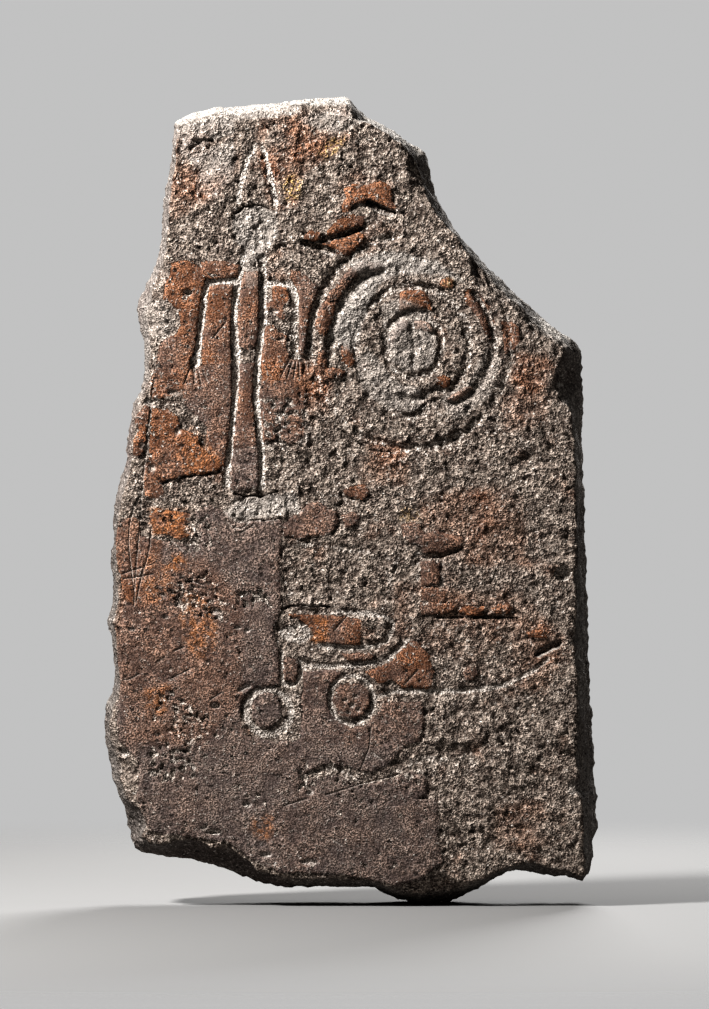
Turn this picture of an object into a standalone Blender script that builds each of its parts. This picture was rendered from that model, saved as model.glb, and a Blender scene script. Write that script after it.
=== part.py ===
# Engraved stele: one broken stone slab. Its front is carved with a warrior in a pointed
# helmet, a round notched shield, a spear, a two-wheeled cart and smaller signs, as pecked
# grooves and fine incised lines. Every other side is broken or roughly split stone.
# Metres, +Z up, carved face towards -Y. The origin lies on the flat facet under the foot,
# at mid-width and mid-thickness.

import math
import random

import bmesh
import bpy
from mathutils import Vector, noise
from mathutils.geometry import delaunay_2d_cdt

# Driving sizes of the slab
SLAB_HEIGHT = 1.218
SLAB_WIDTH = 0.744
SLAB_THICKNESS = 0.180
BACK_EDGE_CHIP = 0.014        # mean width of the chipping round the back face
CHIP_LEAST, CHIP_MOST = 0.6, 1.6
BACK_MIDDLE = 0.600           # height of the middle of the back's flat stretch
BACK_FLAT = 0.150             # its radius
BACK_FALL = 0.014             # how far the split back falls away round it
BACK_NET = 0.085              # spacing of the back's own points
FACE_SWELL = 0.0030           # how far the worn face rises and falls
FACE_SWELL_LENGTH = 0.240
BREAK_JITTER = 0.0030         # unevenness of the broken sides
FACE_NET = 0.046              # spacing of the plain face's own points
NET_SHIFT = 0.25              # how far those points stray, as a share of their spacing
NET_CLEAR = 0.35              # how near they come to the carving, as a share of it too
NET_MERGE = 0.0001            # points nearer than this are one
CURVE_STEP = 0.0125           # length of one straight stretch of a carved curve
EDGE_CLEAR = 0.0030           # plain strip kept between a carved rim and the face's edge
NET_SEED, SIDE_SEED = 3, 7

# Groove sizes: width, depth, and the flat floor's share of the width
BROAD_WIDTH, BROAD_DEPTH = 0.0130, 0.0058
RING_WIDTH, RING_DEPTH = 0.0150, 0.0056
WORN_RING_WIDTH, WORN_RING_DEPTH = 0.0150, 0.0028
CART_WIDTH, CART_DEPTH = 0.0090, 0.0042
FINE_WIDTH, FINE_DEPTH = 0.0055, 0.0022
HAIR_WIDTH, HAIR_DEPTH = 0.0034, 0.0012
RIFT_WIDTH, RIFT_DEPTH = 0.0110, 0.0110
WHEEL_TREAD_WIDTH, WHEEL_TREAD_DEPTH = 0.0210, 0.0028
FLOOR_SHARE = 0.40

# Broad forms on the face
PECKED_DEPTH = 0.0032         # floor of the pecked, roughened areas
PECKED_SLOPE = 0.0060         # width of their sloping rim
PIT_DEPTH = 0.0120
SKIN_HEIGHT = 0.0022          # old skin left standing above the bare stone
SKIN_SLOPE = 0.0035

# The drawing sheet of the carved face: points are (right, down) in sheet units, and the
# outline spans SHEET_WIDTH by SHEET_HEIGHT of them. FOOT is the level of the foot's facet.
SHEET_WIDTH = 496
SHEET_HEIGHT = 812
MIDDLE = 352
FOOT = 889

# The broken edge, clockwise from the top left corner. Each station gives the edge of the
# carved face and then the widest point behind it, both on the drawing sheet.
CROWN = (
    (178, 134, 174, 118), (189, 132, 186, 113), (200, 130, 198, 109), (220, 124, 214, 104),
    (240, 118, 240, 104), (270, 117, 272, 101), (300, 112, 300, 97), (320, 118, 320, 95),
    (343, 116, 345, 93), (352, 118, 352, 98),
)
SHOULDER = (
    (361, 121, 361, 108), (372, 124, 371, 116), (385, 131, 385, 123), (397, 140, 400, 134),
    (402, 151, 414, 143), (406, 168, 427, 150), (414, 185, 432, 172), (429, 200, 438, 197),
    (437, 211, 445, 211), (446, 224, 453, 224), (459, 240, 466, 241), (469, 254, 478, 254),
    (478, 268, 489, 265), (488, 286, 502, 278), (502, 298, 514, 289), (513, 307, 526, 299),
    (523, 322, 539, 312), (536, 331, 551, 322), (548, 339, 563, 332), (559, 347, 574, 338),
)
CORNER_CHIP = (
    (566, 352, 583, 348), (557, 366, 584, 362), (552, 386, 585, 382), (561, 398, 585, 396),
    (571, 409, 585, 410),
)
RIGHT_SIDE = (
    (573, 425, 585, 428), (575, 448, 585, 452), (576, 478, 586, 480), (576, 507, 587, 509),
    (577, 537, 588, 539), (577, 561, 588, 561), (574, 574, 589, 575), (577, 586, 589, 588),
    (577, 606, 590, 607), (576, 629, 590, 630), (570, 640, 591, 641), (576, 651, 592, 652),
    (577, 676, 593, 676), (578, 705, 594, 705), (577, 735, 595, 735), (578, 760, 597, 758),
    (579, 777, 598, 775), (573, 788, 599, 788), (582, 800, 600, 802), (583, 826, 600, 828),
    (584, 843, 597, 843), (585, 861, 596, 861), (586, 875, 592, 877),
)
FOOT_RIGHT = (
    (577, 876, 585, 884), (565, 871, 572, 880), (550, 869, 555, 878), (538, 865, 539, 876),
    (527, 863, 525, 873), (512, 867, 511, 873), (498, 873, 498, 878), (485, 879, 487, 886),
    (472, 882, 473, 894), (458, 881, 460, 900), (446, 874, 448, 906), (432, 876, 431, 907),
    (419, 882, 414, 906), (404, 887, 399, 903), (388, 887, 387, 897),
)
FOOT_FACET = (
    (371, 881, 371, 889), (338, 878, 338, 889), (304, 879, 304, 889), (277, 876, 277, 889),
)
FOOT_LEFT = (
    (258, 872, 261, 884), (250, 862, 249, 880), (240, 855, 238, 877), (228, 846, 223, 871),
    (213, 849, 207, 867), (200, 840, 192, 863), (186, 841, 176, 860), (173, 842, 160, 858),
    (160, 846, 147, 856), (149, 843, 137, 854), (142, 836, 131, 847), (147, 823, 129, 836),
    (138, 808, 126, 822),
)
LEFT_SIDE = (
    (134, 794, 120, 802), (133, 780, 113, 783), (137, 766, 109, 769), (130, 753, 106, 753),
    (117, 742, 105, 741), (114, 723, 103, 723), (118, 709, 104, 707), (121, 696, 110, 698),
    (121, 680, 114, 681), (118, 660, 113, 660), (115, 640, 110, 640), (113, 621, 105, 621),
    (118, 602, 111, 601), (118, 583, 112, 582), (115, 561, 109, 562), (116, 541, 112, 542),
    (118, 520, 111, 520), (121, 500, 113, 500), (128, 480, 119, 480), (131, 460, 125, 460),
    (132, 441, 126, 441), (136, 421, 128, 421), (141, 403, 133, 402), (148, 388, 140, 389),
    (150, 366, 143, 365), (152, 344, 143, 344), (157, 322, 138, 323), (164, 304, 136, 305),
    (164, 284, 145, 283), (165, 262, 156, 262), (166, 240, 160, 240), (168, 216, 161, 215),
    (171, 190, 164, 190), (175, 165, 169, 163), (176, 148, 172, 146),
)

# How each stretch of the edge falls away behind the face: the share of the way outwards at
# the brow, then the depths of brow, front girth and rear girth as shares of the thickness.
EDGES = (
    (CROWN, 0.55, 0.06, 0.28, 0.78),
    (SHOULDER, 0.45, 0.10, 0.34, 0.80),
    (CORNER_CHIP, 0.40, 0.16, 0.42, 0.80),
    (RIGHT_SIDE, 0.35, 0.14, 0.66, 0.86),
    (FOOT_RIGHT, 0.50, 0.12, 0.36, 0.80),
    (FOOT_FACET, 0.55, 0.10, 0.34, 0.80),
    (FOOT_LEFT, 0.35, 0.16, 0.38, 0.80),
    (LEFT_SIDE, 0.55, 0.08, 0.26, 0.80),
)

# The warrior
HELMET = (
    ((257, 144), (251, 152), (246, 165), (242, 180), (239, 195), (238, 203)),
    ((262, 146), (266, 156), (269, 170), (272, 185), (276, 206)),
)
HEAD_CENTRE, HEAD_RADII = (254, 227), (21, 22)
BODY = (
    ((246, 251), (243, 262), (241, 275), (237, 290), (234.5, 306), (234, 324), (235.5, 343),
     (236.5, 362), (236, 384), (235, 404), (233, 423), (231, 442), (228.5, 461), (227, 480),
     (227, 495)),
    ((262, 256), (262.5, 275), (263, 300), (263.5, 320), (261, 340), (258.5, 357), (256.5, 372),
     (256, 387), (257, 403), (259, 422), (260.5, 441), (261.5, 461), (262, 480), (261.5, 496)),
)
WAIST = ((238, 357.5), (247, 357), (258, 358))
ARMS = (
    ((239, 281), (222, 281), (209, 283), (205, 290), (203, 302), (201, 320), (199, 340),
     (197.5, 355), (196, 366)),
    ((264, 283.5), (278, 283.5), (291, 286), (294.5, 293), (295, 310), (295, 334),
     (295.5, 356)),
)
CUFF = ((293, 358.5), (302, 358.5), (313, 358))
FINGERS = (
    ((194, 363), (189, 371), (184, 384)), ((195, 368), (194, 384)), ((198.5, 370), (201, 384)),
    ((203, 371), (208, 382)), ((289, 361), (285, 368), (281, 377)), ((292.5, 362), (287, 378)),
    ((296, 362), (293.5, 379)), ((299, 362), (299.5, 379)),
)

# The shield: each ring is a line of ellipse arcs, as centre, radii, first and last angle in
# degrees turning clockwise from the right, and of free curves where it turns into the notch
RIM_CENTRE, RIM_RADII = (411, 342), (100, 107)
MIDDLE_CENTRE, MIDDLE_RADII, MIDDLE_LOWER_RADII = (412.5, 345), (81.5, 80), (81.5, 69)
INNER_CENTRE, INNER_RADII = (413, 346), (57, 60)
BOSS_CENTRE, BOSS_RADII = (414, 345), (28.5, 33)
MIDDLE_NOTCH = ((445, 406), (438, 402), (431, 403), (424, 411), (412, 418), (399, 414),
                (386, 406), (375, 396), (366, 384))
INNER_NOTCH = ((451, 390), (444, 392), (437, 388), (430, 392), (421, 398), (410, 400),
               (397, 396))
SHIELD_RINGS = (
    ("ring", ((RIM_CENTRE, RIM_RADII, 168, 264),), ()),
    ("ring", ((RIM_CENTRE, RIM_RADII, 44, 124),), ()),
    ("worn ring", ((RIM_CENTRE, RIM_RADII, 130, 162),), ()),
    ("worn ring", ((RIM_CENTRE, RIM_RADII, 286, 398),), ()),
    ("ring", ((MIDDLE_CENTRE, MIDDLE_RADII, 172, 250),), ()),
    ("ring", ((MIDDLE_CENTRE, MIDDLE_RADII, 318, 360), (MIDDLE_CENTRE, MIDDLE_LOWER_RADII, 7, 62)),
     MIDDLE_NOTCH),
    ("ring", ((INNER_CENTRE, INNER_RADII, 150, 402),), INNER_NOTCH),
)
SHIELD_GRIP = ((413, 319), (412.5, 332), (414, 350), (414.5, 375))

# The cart seen from the side: body, pole end, shafts and two wheels
CART = (
    ((287, 610), (305, 609.5), (325, 611.5), (346, 612.5), (365, 613.5), (383, 616),
     (392, 621), (392, 631), (386, 641), (377, 646), (364, 648), (348, 648.5), (333, 648),
     (318, 645.5)),
    ((297, 660), (305, 665), (318, 666.5), (336, 667), (353, 666), (366, 664.5), (378, 662),
     (389, 658.5), (396, 652.5), (402, 646), (408, 639)),
    ((282, 651), (281, 663), (281, 676), (284, 684), (291, 686.5), (297.5, 683), (300.5, 676),
     (302, 668)),
)
CART_TICK = ((272, 658), (280, 659), (287, 661))
FRONT_WHEEL_CENTRE, FRONT_WHEEL_RADII = (352, 700), (22.5, 24.5)
REAR_WHEEL_CENTRE, REAR_WHEEL_RADII = (268.5, 712), (22.5, 22.5)
CART_POLE = (
    (374, 699), (386, 694), (402, 691), (430, 691), (462, 691), (484, 689), (500, 686.5),
    (512, 682), (524, 676), (536, 668.5), (549, 658),
)

# The spear along the left edge, and a small panel of signs on the right
SPEAR = (
    ((154, 378), (151, 400), (148, 430), (145, 462), (142, 490), (140, 520), (138, 546),
     (135.5, 575), (134, 606)),
    ((140, 496), (133, 510), (129, 528), (128.5, 545), (131, 566), (134, 590)),
    ((151, 528), (150, 545), (146, 562), (141, 578), (136, 603)),
)
SPEAR_TIES = (((122, 574), (137, 569), (153, 564)), ((123, 579), (138, 577), (153, 574)))
PANEL_LINES = (
    ((419, 590), (417.5, 574), (418.5, 560), (429, 557.5), (441, 560), (442, 574), (441, 589)),
    ((421, 604), (436, 602.5), (452, 605)),
)
PANEL_SHELF = ((416, 554), (432, 554.5), (448, 553), (462, 548))
PANEL_LEDGE = ((437, 616), (456, 616), (476, 618), (496, 617), (517, 618.5))
LOWER_ARCS = (
    ((300, 777), (315, 772), (329, 768), (343, 771), (356, 780)),
    ((397, 778), (407, 769), (420, 762), (440, 760), (462, 761)),
)
FACE_CRACK = ((227, 522), (233, 527), (241, 525), (249, 520), (262, 520), (281, 517))
LONG_SCRATCHES = (
    ((326, 795), (358, 785), (398, 775)),
    ((371, 728), (369, 748), (360, 770)),
)

# Pecked areas, pits and rifts in the face, and patches of old skin left standing on it
PECKED_AREAS = (
    ((279, 543), (300, 539), (330, 542), (362, 546), (393, 552), (395, 580), (393, 605),
     (340, 603), (284, 601)),
    ((273, 636), (279, 627), (291, 622), (301, 619.5), (309, 622), (314, 631), (315, 640),
     (303, 648), (287, 645)),
    ((229, 500), (245, 494), (272, 497), (281, 507), (268, 515), (246, 516), (232, 512)),
)
PITS = (
    ((554, 569), (563, 565), (571, 566), (571, 579), (556, 581)),
    ((184, 290), (192, 289), (193, 296), (186, 298)),
    ((207, 828), (220, 831), (221, 836), (209, 836)),
    ((212, 704), (220, 702), (223, 708), (214, 710)),
)
RIFTS = (
    ((471, 257), (478, 272), (484, 285)),
    ((537, 655), (548, 649), (560, 643)),
    ((368, 202), (382, 209), (395, 213)),
    ((322, 240), (342, 235), (360, 228)),
    ((304, 243), (318, 246), (334, 253)),
)
SKIN_PATCHES = (
    ((344, 186), (354, 183), (368, 187), (382, 182), (390, 187), (391, 199), (388, 205),
     (368, 196), (354, 207), (343, 207)),
    ((402, 292), (418, 290), (425, 294), (429, 307), (414, 306), (399, 309)),
    ((458, 391), (466, 387), (474, 388), (470, 394), (460, 399)),
    ((464, 670), (469, 666), (476, 669), (477, 676), (470, 681), (463, 678)),
    ((402, 525), (418, 527), (424, 534), (440, 532), (462, 537), (460, 546), (422, 547),
     (406, 543)),
    ((422, 563), (429, 561), (437, 563), (438, 582), (422, 583)),
)
SKIN_BANDS = (
    ((321, 325), (324, 308), (333, 291), (347, 275), (366, 263)),
    ((472, 297), (480, 311), (485, 328)),
)
SKIN_BAND_WIDTH = 0.0165

X_UNIT = SLAB_WIDTH / SHEET_WIDTH
Z_UNIT = SLAB_HEIGHT / SHEET_HEIGHT
FRONT_Y = -SLAB_THICKNESS / 2
BACK_Y = SLAB_THICKNESS / 2


def at(point):
    """A point of the drawing sheet, as x and z in metres."""
    return Vector(((point[0] - MIDDLE) * X_UNIT, (FOOT - point[1]) * Z_UNIT))


def curve_through(points, step=CURVE_STEP):
    """A smooth line through a few points of the sheet, as evenly spaced points in metres."""
    knots = [at(point) for point in points]
    knots = [2 * knots[0] - knots[1]] + knots + [2 * knots[-1] - knots[-2]]
    line = [knots[1]]
    for before, start, end, after in zip(knots, knots[1:], knots[2:], knots[3:]):
        count = max(1, round((end - start).length / step))
        for i in range(1, count + 1):
            t = i / count
            line.append(0.5 * (2 * start + (end - before) * t
                               + (2 * before - 5 * start + 4 * end - after) * t ** 2
                               + (3 * start - before - 3 * end + after) * t ** 3))
    return line


def arc(centre, radii, first, last, step=CURVE_STEP):
    """An ellipse arc on the sheet, in metres, from angle first to angle last in degrees."""
    sweep = math.radians(last - first)
    size = (radii[0] * X_UNIT + radii[1] * Z_UNIT) / 2
    count = max(3, round(sweep * size / step))
    angles = [math.radians(first) + sweep * i / count for i in range(count + 1)]
    return [at((centre[0] + radii[0] * math.cos(a), centre[1] + radii[1] * math.sin(a)))
            for a in angles]


def nearest(point, line):
    """Distance from a point to a line of straight stretches."""
    best = (point - line[0]).length_squared
    for start, end in zip(line, line[1:]):
        along = end - start
        reach = along.length_squared
        if reach:
            t = min(1.0, max(0.0, (point - start).dot(along) / reach))
            best = min(best, (point - start - along * t).length_squared)
    return math.sqrt(best)


def is_inside(point, loop):
    """Whether a point lies inside a closed loop."""
    inside = False
    for a, b in zip(loop, loop[1:] + loop[:1]):
        if (a.y > point.y) != (b.y > point.y):
            if point.x < a.x + (b.x - a.x) * (point.y - a.y) / (b.y - a.y):
                inside = not inside
    return inside


def beside(line, distance):
    """The closed loop at one distance all round an open line, with round ends."""
    sides = ([], [])
    for i, point in enumerate(line):
        along = (line[min(i + 1, len(line) - 1)] - line[max(i - 1, 0)]).normalized()
        across = Vector((-along.y, along.x)) * distance
        sides[0].append(point + across)
        sides[1].append(point - across)
    first = (line[0] - line[1]).normalized() * distance
    last = (line[-1] - line[-2]).normalized() * distance
    return sides[0] + [line[-1] + last] + sides[1][::-1] + [line[0] + first]


def grown(loop, distance):
    """A closed loop moved outwards by a distance, or inwards where it is negative."""
    turn = sum(a.x * b.y - b.x * a.y for a, b in zip(loop, loop[1:] + loop[:1]))
    side = 1 if turn > 0 else -1
    moved = []
    for before, point, after in zip(loop[-1:] + loop[:-1], loop, loop[1:] + loop[:1]):
        along = (after - before).normalized()
        moved.append(point + Vector((along.y, -along.x)) * distance * side)
    return moved


class Groove:
    """A cut of one width and depth along a line, with sloping walls and a flat floor."""

    def __init__(self, line, width, depth, floor_share=FLOOR_SHARE):
        self.line = line
        self.rim = width / 2
        self.floor = self.rim * floor_share
        self.depth = depth

    def depth_at(self, point):
        away = nearest(point, self.line)
        return self.depth * min(1.0, max(0.0, (self.rim - away) / (self.rim - self.floor)))

    def loops(self):
        if self.line[0] != self.line[-1]:
            return [beside(self.line, self.rim), beside(self.line, self.floor)]
        loop = self.line[:-1]
        return [grown(loop, distance)
                for distance in (self.rim, self.floor, -self.floor, -self.rim)]


class Hollow:
    """A sunk area inside a closed loop; a negative depth makes a raised patch."""

    def __init__(self, loop, depth, slope):
        self.loop = loop
        self.depth = depth
        self.slope = slope

    def depth_at(self, point):
        if not is_inside(point, self.loop):
            return 0.0
        return self.depth * min(1.0, nearest(point, self.loop + self.loop[:1]) / self.slope)

    def loops(self):
        return [self.loop, grown(self.loop, -self.slope)]


def grooves():
    """Every cut line of the carving."""
    sizes = {"ring": (RING_WIDTH, RING_DEPTH), "worn ring": (WORN_RING_WIDTH, WORN_RING_DEPTH)}
    cut = [Groove(curve_through(line), BROAD_WIDTH, BROAD_DEPTH) for line in BODY + ARMS]
    cut += [Groove(curve_through(line), CART_WIDTH, CART_DEPTH) for line in HELMET + CART]
    for kind, arcs, notch in SHIELD_RINGS:
        line = [point for place in arcs for point in arc(*place)]
        if notch:
            line += curve_through(notch)
        cut.append(Groove(line, *sizes[kind]))
    cut.append(closed_groove(BOSS_CENTRE, BOSS_RADII, RING_WIDTH, RING_DEPTH))
    cut.append(closed_groove(FRONT_WHEEL_CENTRE, FRONT_WHEEL_RADII, CART_WIDTH, CART_DEPTH))
    cut.append(closed_groove(REAR_WHEEL_CENTRE, REAR_WHEEL_RADII,
                             WHEEL_TREAD_WIDTH, WHEEL_TREAD_DEPTH))
    cut += [Groove(curve_through(line), CART_WIDTH, CART_DEPTH)
            for line in (SHIELD_GRIP, CART_POLE, PANEL_SHELF, PANEL_LEDGE, CUFF)]
    cut += [Groove(curve_through(line), FINE_WIDTH, FINE_DEPTH)
            for line in (WAIST, CART_TICK) + PANEL_LINES + LOWER_ARCS]
    cut += [Groove(curve_through(line), HAIR_WIDTH, HAIR_DEPTH)
            for line in FINGERS + SPEAR + SPEAR_TIES + LONG_SCRATCHES + (FACE_CRACK,)]
    cut += [Groove(curve_through(line), RIFT_WIDTH, RIFT_DEPTH) for line in RIFTS]
    return cut


def closed_groove(centre, radii, width, depth):
    """A groove all round an ellipse."""
    line = arc(centre, radii, 0, 360)
    line[-1] = line[0]
    return Groove(line, width, depth)


def hollows():
    """The sunk areas and pits of the face."""
    head = arc(HEAD_CENTRE, HEAD_RADII, 0, 360)[:-1]
    sunk = [Hollow(head, PECKED_DEPTH, PECKED_SLOPE)]
    sunk += [Hollow([at(p) for p in loop], PECKED_DEPTH, PECKED_SLOPE)
             for loop in PECKED_AREAS]
    sunk += [Hollow([at(p) for p in loop], PIT_DEPTH, PECKED_SLOPE) for loop in PITS]
    return sunk


def skins():
    """The patches of old skin that stand a little above the bare stone."""
    patches = [Hollow([at(p) for p in loop], -SKIN_HEIGHT, SKIN_SLOPE) for loop in SKIN_PATCHES]
    patches += [Groove(curve_through(line), SKIN_BAND_WIDTH, -SKIN_HEIGHT, 0.5)
                for line in SKIN_BANDS]
    return patches


def face_y(point, cuts, patches):
    """How far back the worn and carved face lies at a point."""
    swell = FACE_SWELL * noise.noise(Vector((point.x, 0.0, point.y)) / FACE_SWELL_LENGTH)
    cut = max(form.depth_at(point) for form in cuts)
    raised = min(form.depth_at(point) for form in patches)
    return FRONT_Y + swell + (cut if cut > 0 else raised)


def stations():
    """The edge's stations in order: face edge, brow, front girth and rear girth, with the
    depths of the last three, and whether the station belongs to the foot's flat facet."""
    found = []
    for stretch, share, brow, girth, rear in EDGES:
        for ax, ay, ex, ey in stretch:
            edge, widest = at((ax, ay)), at((ex, ey))
            depths = [SLAB_THICKNESS * depth for depth in (brow, girth, rear)]
            found.append((edge, edge.lerp(widest, share), widest, depths,
                          stretch is FOOT_FACET))
    return found


def evened(directions, rounds=4):
    """Directions round a ring, each turned towards its neighbours and made of length one."""
    for _ in range(rounds):
        shifted = zip(directions[-1:] + directions[:-1], directions,
                      directions[1:] + directions[:1])
        directions = [(before + here + after).normalized() for before, here, after in shifted]
    return directions


def back_y(point):
    """How far back the split rear face lies at a point: flat round its middle."""
    away = (point - Vector((0.0, BACK_MIDDLE))).length - BACK_FLAT
    fall = 0.5 + noise.noise(Vector((point.x, SLAB_THICKNESS, point.y)) / FACE_SWELL_LENGTH)
    return BACK_Y - BACK_FALL * min(1.0, max(0.0, away / BACK_FLAT)) * max(0.0, fall)


def sides(edge):
    """The rings of points behind the face's edge, each with its place and its y: brow, front
    girth, rear girth and the edge of the back. The foot's facet keeps its level exactly."""
    chance = random.Random(SIDE_SEED)
    outward = evened([after - before for before, after
                      in zip([s[2] for s in edge], grown([s[2] for s in edge], 1.0))])
    rings = ([], [], [], [])
    for (_, brow, girth, depths, flat), out in zip(edge, outward):
        jitter = [BREAK_JITTER * chance.uniform(-1, 1) for _ in range(6)]
        chip = BACK_EDGE_CHIP * chance.uniform(CHIP_LEAST, CHIP_MOST)
        if flat:
            jitter = [0.0] * len(jitter)
        rear = girth - out * (0.0 if flat else BREAK_JITTER)
        rings[0].append((brow + out * jitter[0] / 2, FRONT_Y + depths[0] + jitter[1]))
        rings[1].append((girth, FRONT_Y + depths[1] + jitter[2] * 2))
        rings[2].append((rear + out * jitter[3], FRONT_Y + depths[2] + jitter[4] * 2))
        rings[3].append((rear - out * chip, back_y(rear - out * chip)))
    return rings


def flat_net(outline, loops, spacing):
    """A flat net of triangles inside an outline that follows each of some loops: its points,
    its triangles, and where each point of the outline went."""
    points, edges = list(outline), []
    guard = outline + outline[:1]
    for loop in loops:
        held = [is_inside(p, outline) and nearest(p, guard) > EDGE_CLEAR for p in loop]
        first = len(points)
        points += loop
        for i in range(len(loop)):
            after = (i + 1) % len(loop)
            if held[i] and held[after]:
                edges.append((first + i, first + after))
    used = {i for edge in edges for i in edge} | set(range(len(outline)))
    order = sorted(used)
    place = {old: new for new, old in enumerate(order)}
    points = [points[i] for i in order]
    edges = [(place[a], place[b]) for a, b in edges]
    points += plain_points(outline, points, spacing)
    ring = list(range(len(outline)))
    net, _, triangles, origins, _, _ = delaunay_2d_cdt(points, edges, [ring], 1, NET_MERGE)
    went = {old: new for new, olds in enumerate(origins) for old in olds}
    return net, triangles, [went[i] for i in ring]


def plain_points(outline, taken, spacing):
    """Points spread over the plain parts of a net, clear of its edge and of its loops."""
    chance = random.Random(NET_SEED)
    clear = spacing * NET_CLEAR
    guard = outline + outline[:1]
    low = Vector((min(p.x for p in outline), min(p.y for p in outline)))
    high = Vector((max(p.x for p in outline), max(p.y for p in outline)))
    spread = []
    for row in range(int((high.y - low.y) / spacing) + 1):
        for column in range(int((high.x - low.x) / spacing) + 1):
            across = column + (row % 2) / 2 + chance.uniform(-NET_SHIFT, NET_SHIFT)
            point = low + spacing * Vector((across, row + chance.uniform(-NET_SHIFT, NET_SHIFT)))
            if not is_inside(point, outline) or nearest(point, guard) < clear:
                continue
            if all((point - other).length > clear for other in taken):
                spread.append(point)
    return spread


def stone():
    """Reddish grey weathered stone."""
    material = bpy.data.materials.new("weathered_stone")
    material.use_nodes = True
    shader = material.node_tree.nodes["Principled BSDF"]
    shader.inputs["Base Color"].default_value = (0.19, 0.125, 0.095, 1.0)
    shader.inputs["Roughness"].default_value = 0.88
    shader.inputs["Metallic"].default_value = 0.0
    return material


def back_flat():
    """The edge of the back's flat stretch."""
    count = round(2 * math.pi * BACK_FLAT / BACK_NET)
    angles = [2 * math.pi * i / count for i in range(count)]
    return [Vector((BACK_FLAT * math.cos(a), BACK_MIDDLE + BACK_FLAT * math.sin(a)))
            for a in angles]


def net_of_stone(mesh, net, depth_of):
    """A flat net set into the mesh, each point at its own depth; gives its outline's verts."""
    places, triangles, ring = net
    verts = [mesh.verts.new((p.x, depth_of(p), p.y)) for p in places]
    for triangle in triangles:
        mesh.faces.new([verts[i] for i in triangle])
    return [verts[i] for i in ring]


def wall(mesh, row, behind):
    """The faces between two rings of verts."""
    for i in range(len(row)):
        after = (i + 1) % len(row)
        mesh.faces.new((row[i], behind[i], behind[after], row[after]))


def build_stele():
    """The whole slab: the carved face, the broken sides and the split back, as one body."""
    edge = stations()
    cuts = grooves() + hollows()
    patches = skins()
    outline = [station[0] for station in edge]
    loops = [loop for form in cuts + patches for loop in form.loops()]
    rings = sides(edge)

    mesh = bmesh.new()
    row = net_of_stone(mesh, flat_net(outline, loops, FACE_NET),
                       lambda point: face_y(point, cuts, patches))
    rear = net_of_stone(mesh, flat_net([p for p, _ in rings[-1]], [back_flat()], BACK_NET),
                        back_y)
    for places in rings[:-1]:
        behind = [mesh.verts.new((p.x, y, p.y)) for p, y in places]
        wall(mesh, row, behind)
        row = behind
    wall(mesh, row, rear)
    bmesh.ops.triangulate(mesh, faces=mesh.faces[:])
    bmesh.ops.recalc_face_normals(mesh, faces=mesh.faces[:])

    data = bpy.data.meshes.new("stele")
    mesh.to_mesh(data)
    mesh.free()
    data.materials.append(stone())
    stele = bpy.data.objects.new("stele", data)
    bpy.context.scene.collection.objects.link(stele)
    return stele


for old in list(bpy.data.objects):
    bpy.data.objects.remove(old, do_unlink=True)

build_stele()
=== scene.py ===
# The engraved stele as one weathered stone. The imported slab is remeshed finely, geometry nodes
# raise or sink its old skin, bare grain, swells, pits and cuts and store where each of them is,
# and one stone material reads these marks. Metres, +Z up, carved face towards -Y.

import math

import bmesh
import bpy
import numpy
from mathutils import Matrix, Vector


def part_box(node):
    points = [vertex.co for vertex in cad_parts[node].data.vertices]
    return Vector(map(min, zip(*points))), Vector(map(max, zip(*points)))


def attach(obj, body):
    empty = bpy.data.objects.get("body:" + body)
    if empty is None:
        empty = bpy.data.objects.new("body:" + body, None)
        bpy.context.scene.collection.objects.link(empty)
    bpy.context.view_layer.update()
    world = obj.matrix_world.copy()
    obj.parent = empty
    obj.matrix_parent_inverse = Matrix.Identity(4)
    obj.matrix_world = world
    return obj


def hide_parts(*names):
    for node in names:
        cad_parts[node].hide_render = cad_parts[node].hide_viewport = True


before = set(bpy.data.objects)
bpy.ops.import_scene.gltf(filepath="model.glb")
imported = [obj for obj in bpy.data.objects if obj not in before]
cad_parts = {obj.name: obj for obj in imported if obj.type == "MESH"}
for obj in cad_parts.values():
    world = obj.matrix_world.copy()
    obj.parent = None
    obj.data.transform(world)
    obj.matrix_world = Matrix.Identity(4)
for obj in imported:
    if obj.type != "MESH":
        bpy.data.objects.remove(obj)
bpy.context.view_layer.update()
LOW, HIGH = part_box("stele")

# The drawing sheet of the face, counted to the right and down, scaled to the slab's own height
SHEET_HEIGHT = 814
SHEET_MIDDLE, SHEET_FOOT = 352, 889
UNIT = (HIGH.z - LOW.z) / SHEET_HEIGHT

# Camera: a very long lens, level with the middle of the picture
PICTURE_MIDDLE = (354.5, 504.5)
PICTURE_HEIGHT = 1009
LENS = 250.0
SENSOR = 36.0

# Studio
FLOOR_RADIUS = 3.0
FLOOR_WHOLE = 1.2
FLOOR_CORNERS = 96
FLOOR_ROUGHNESS = 0.9
FLOOR_COLOUR = (0.162, 0.159, 0.155, 1.0)
KEY_DIRECTION = Vector((-0.60, -0.45, 0.66)).normalized()
KEY_SIZE = 0.75
KEY_POWER = 400.0
RIM_DIRECTION = Vector((0.86, 0.07, 0.42)).normalized()
RIM_SIZE = 0.75
RIM_POWER = 8.0
BACK_DIRECTION = Vector((0.20, 0.84, 0.45)).normalized()
BACK_SIZE = 1.60
BACK_POWER = 190.0
LAMP_DISTANCE = 3.9
SURROUND_COLOUR = (1.0, 1.0, 1.0, 1.0)
SURROUND_LIGHT = 0.06
SURROUND_SEEN = 0.42
LOOK = "High Contrast"

# The mesh: how finely it is remade, split beside the cut lines and thinned again
VOXEL = 0.0021
SOFTEN_STEPS = 5
LINE_BACK = -0.060
LINE_REACH = 0.0040
LINE_SPLITS = 2
FRONT_TRIANGLES = 150000
SIDE_TRIANGLES = 44000

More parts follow.
